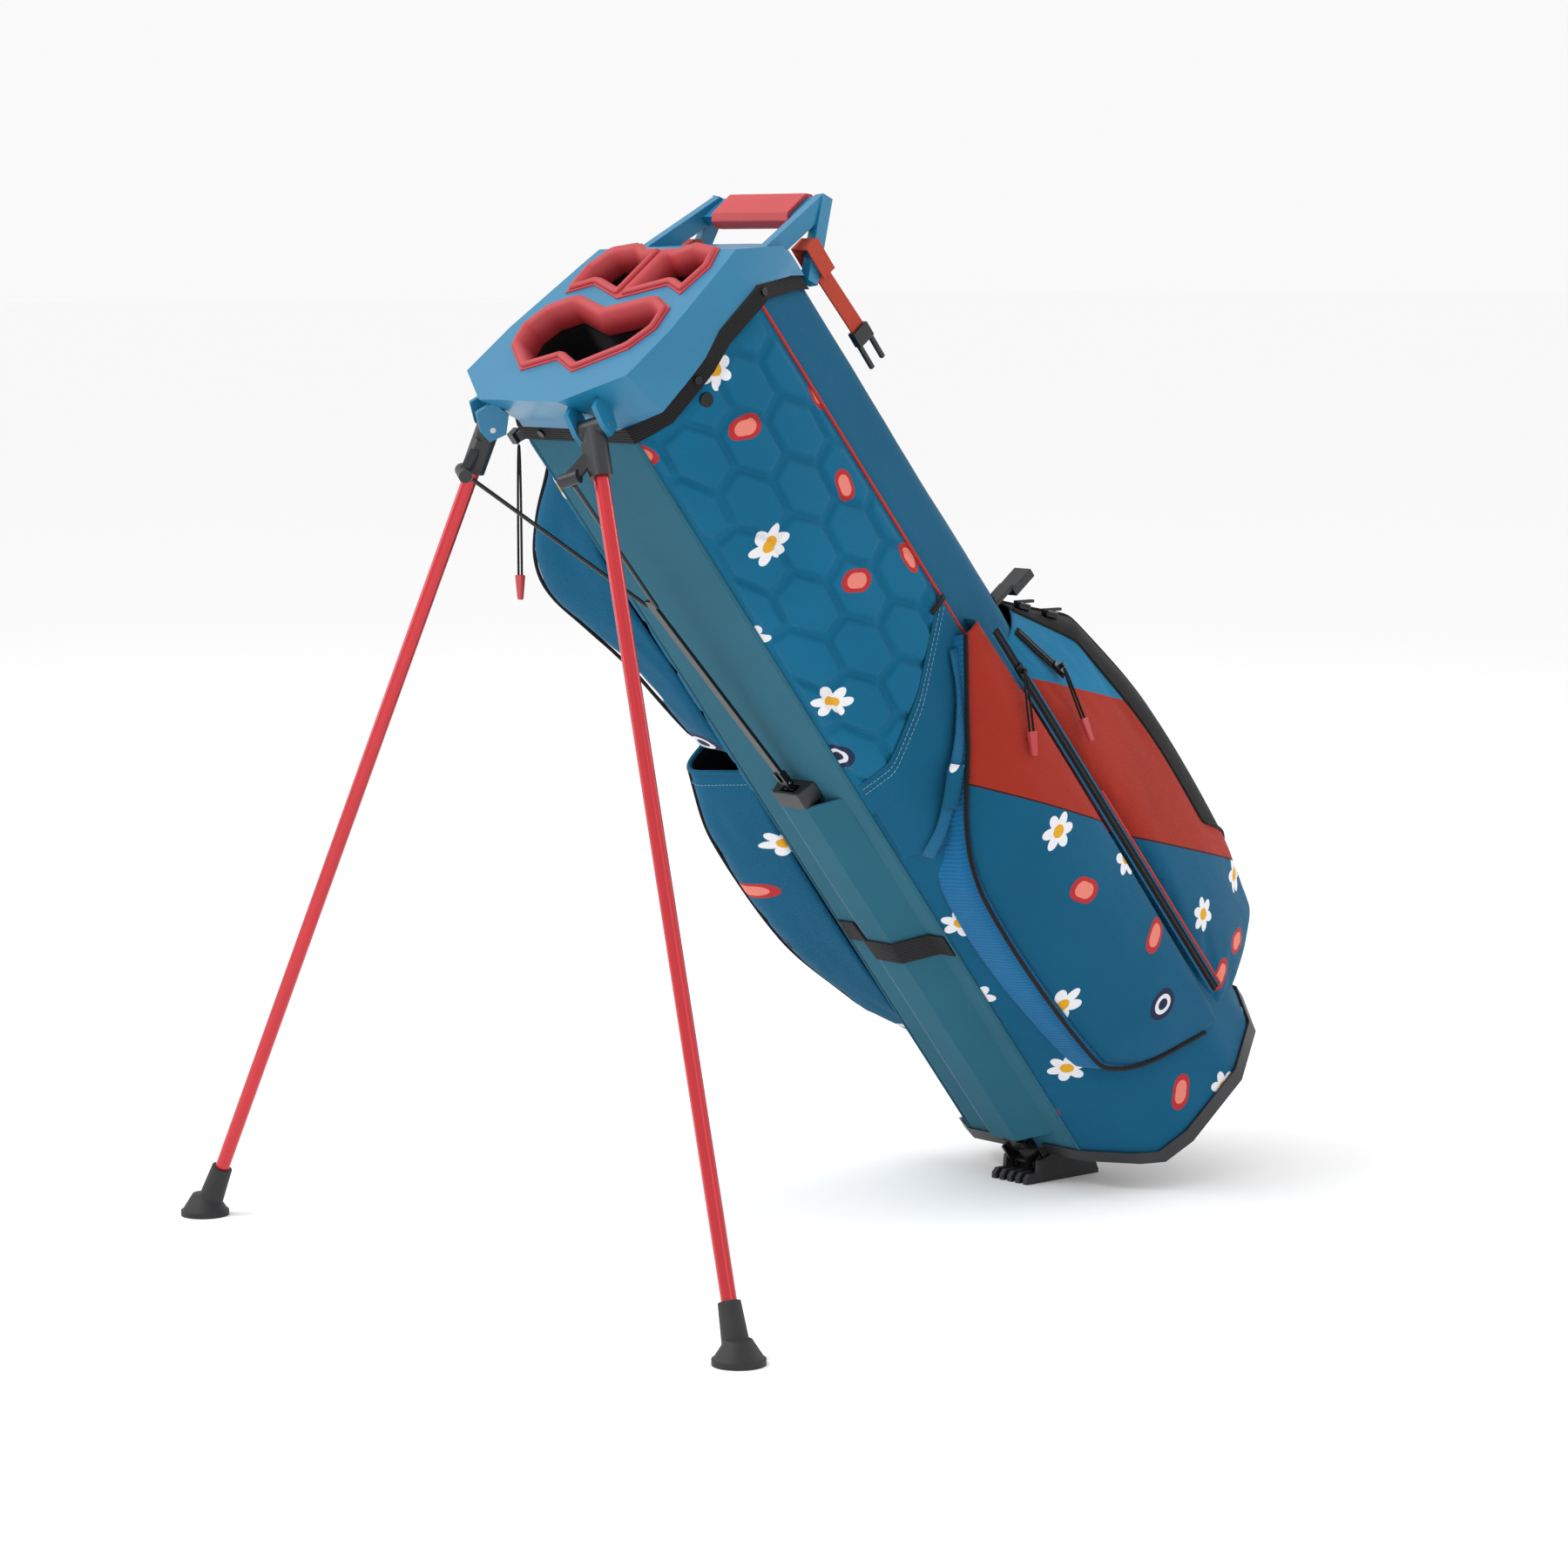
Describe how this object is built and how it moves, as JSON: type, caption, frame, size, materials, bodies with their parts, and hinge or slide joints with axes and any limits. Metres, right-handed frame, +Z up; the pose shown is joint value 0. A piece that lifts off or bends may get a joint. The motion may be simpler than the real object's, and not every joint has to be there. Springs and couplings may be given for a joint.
{
  "type": "golf stand bag",
  "caption": "Golf stand bag leaning on two folding legs and a hinged base foot, with moulded three-well top, zipped and open pockets, push rod and wishbone leg linkage",
  "frame": {"origin": "middle of the base foot's sole, on the ground", "axes": "+X is the bag's right side, -Y is the side the legs open to, +Z is up"},
  "size_m": [0.732, 0.8602, 0.8425],
  "materials": {
    "collar_blue": "satin injection-moulded light blue plastic",
    "coral_rubber": "soft coral overmoulded rubber",
    "black_plastic": "fine textured black plastic",
    "red_tube": "glossy red anodised tube",
    "black_steel": "black powder coated steel",
    "black_rubber": "matt black rubber",
    "spine_fabric": "smooth coated teal blue fabric",
    "printed_fabric": null,
    "quilted_fabric": "blue fabric quilted in hexagons over foam",
    "plain_blue_fabric": "blue ripstop fabric",
    "black_fabric": "black woven binding",
    "red_webbing": "rust red woven webbing",
    "zinc": "black nickel plated zinc casting",
    "steel_pin": "plain steel pin",
    "board": "grey polypropylene sheet",
    "fibreglass": "pultruded fibreglass rod"
  },
  "bodies": {
    "bag": {"top_collar": "collar_blue", "front_well_trim": "coral_rubber", "rear_wells_trim": "coral_rubber", "handle_grip": "coral_rubber", "collar_binding": "black_fabric", "collar_screws": "steel_pin", "right_quilted_panel": "quilted_fabric", "rear_panel": "plain_blue_fabric", "left_quilted_panel": "quilted_fabric", "lower_body_panel": "printed_fabric", "spine_panel": "spine_fabric", "spine_board": "board", "rod_tunnel_cover": "spine_fabric", "rod_guide": "black_plastic", "spine_strap": "black_fabric", "cross_divider": "black_fabric", "centre_divider": "black_fabric", "frame_stays": "fibreglass", "base_cup": "black_plastic", "base_foot_pin": "steel_pin", "right_leg_pin": "steel_pin", "left_leg_pin": "steel_pin", "right_side_pocket": "printed_fabric", "right_slip_pocket": "printed_fabric", "ball_pocket": "printed_fabric", "left_tall_pocket": "printed_fabric", "left_bottle_pocket": "printed_fabric", "side_zip_tape": "black_fabric", "ball_zip_tape": "black_fabric", "cord_clip": "black_plastic", "hanging_cord": "black_fabric", "hanging_end": "coral_rubber", "snap_button": "zinc", "lower_buckle": "black_plastic", "left_strap_loop": "red_webbing"},
    "foot_lever": {"base_foot": "black_plastic"},
    "rod": {"push_rod": "black_steel", "rod_hinge_pin": "steel_pin"},
    "strip": {"push_strip": "black_steel"},
    "right_wire": {"right_wishbone_wire": "black_steel"},
    "left_wire": {"left_wishbone_wire": "black_steel"},
    "right_leg": {"right_leg_yoke": "black_plastic", "right_leg_tube": "red_tube", "right_leg_foot": "black_rubber"},
    "left_leg": {"left_leg_yoke": "black_plastic", "left_leg_tube": "red_tube", "left_leg_foot": "black_rubber"},
    "side_zip": {"side_zip_slider": "zinc", "side_zip_pull_cord": "black_fabric", "side_zip_pull_end": "coral_rubber"},
    "ball_zip": {"ball_zip_slider": "zinc", "ball_zip_pull_cord": "black_fabric", "ball_zip_pull_end": "coral_rubber"},
    "strap": {"strap_webbing": "red_webbing", "strap_buckle": "black_plastic"}
  },
  "joints": [
    {"name": "right_leg_fold", "type": "hinge", "parent": "bag", "child": "right_leg", "pos_m": [0.066, -0.55046, 0.66252], "axis": [0.8617, 0.4044, 0.3065], "range_deg": [0, 50.45]},
    {"name": "left_leg_fold", "type": "hinge", "parent": "bag", "child": "left_leg", "pos_m": [-0.066, -0.55046, 0.66252], "axis": [0.8617, -0.4044, -0.3065], "range_deg": [0, 50.45]},
    {"name": "push_rod_slide", "type": "slide", "parent": "bag", "child": "rod", "axis": [0, 0.6129, -0.7902], "range_m": [0, 0.0311]},
    {"name": "strip_tilt", "type": "hinge", "parent": "rod", "child": "strip", "pos_m": [0, -0.30141, 0.36592], "axis": [1, 0, 0], "range_deg": [-2.77, 0]},
    {"name": "right_wire_swing", "type": "hinge", "parent": "strip", "child": "right_wire", "pos_m": [0, -0.44446, 0.52162], "axis": [-0.2747, -0.6809, -0.6789], "range_deg": [0, 4.52]},
    {"name": "left_wire_swing", "type": "hinge", "parent": "strip", "child": "left_wire", "pos_m": [0, -0.44446, 0.52162], "axis": [-0.2747, 0.6809, 0.6789], "range_deg": [0, 4.52]},
    {"name": "base_foot_fold", "type": "hinge", "parent": "bag", "child": "foot_lever", "pos_m": [0, 0.01521, 0.03442], "axis": [1, 0, 0], "range_deg": [0, 37.38]},
    {"name": "side_zip_slide", "type": "slide", "parent": "bag", "child": "side_zip", "axis": [-0.0273, -0.6127, 0.7899], "range_m": [-0.35, 0.034]},
    {"name": "ball_zip_slide", "type": "slide", "parent": "bag", "child": "ball_zip", "axis": [-0.2396, -0.7092, 0.663], "range_m": [0, 0.02]},
    {"name": "strap_swing", "type": "hinge", "parent": "bag", "child": "strap", "pos_m": [0.0722, -0.33368, 0.79093], "axis": [0, 0.7902, 0.6129], "range_deg": [-12, 12]}
  ],
  "couplings": [
    {"joint": "left_leg_fold", "follows": "right_leg_fold", "ratio": 1},
    {"joint": "push_rod_slide", "follows": "right_leg_fold", "m_per_rad": 0.035317},
    {"joint": "strip_tilt", "follows": "right_leg_fold", "ratio": -0.055},
    {"joint": "right_wire_swing", "follows": "right_leg_fold", "ratio": 0.089526},
    {"joint": "left_wire_swing", "follows": "right_leg_fold", "ratio": 0.089526},
    {"joint": "base_foot_fold", "follows": "right_leg_fold", "ratio": 0.74085}
  ]
}
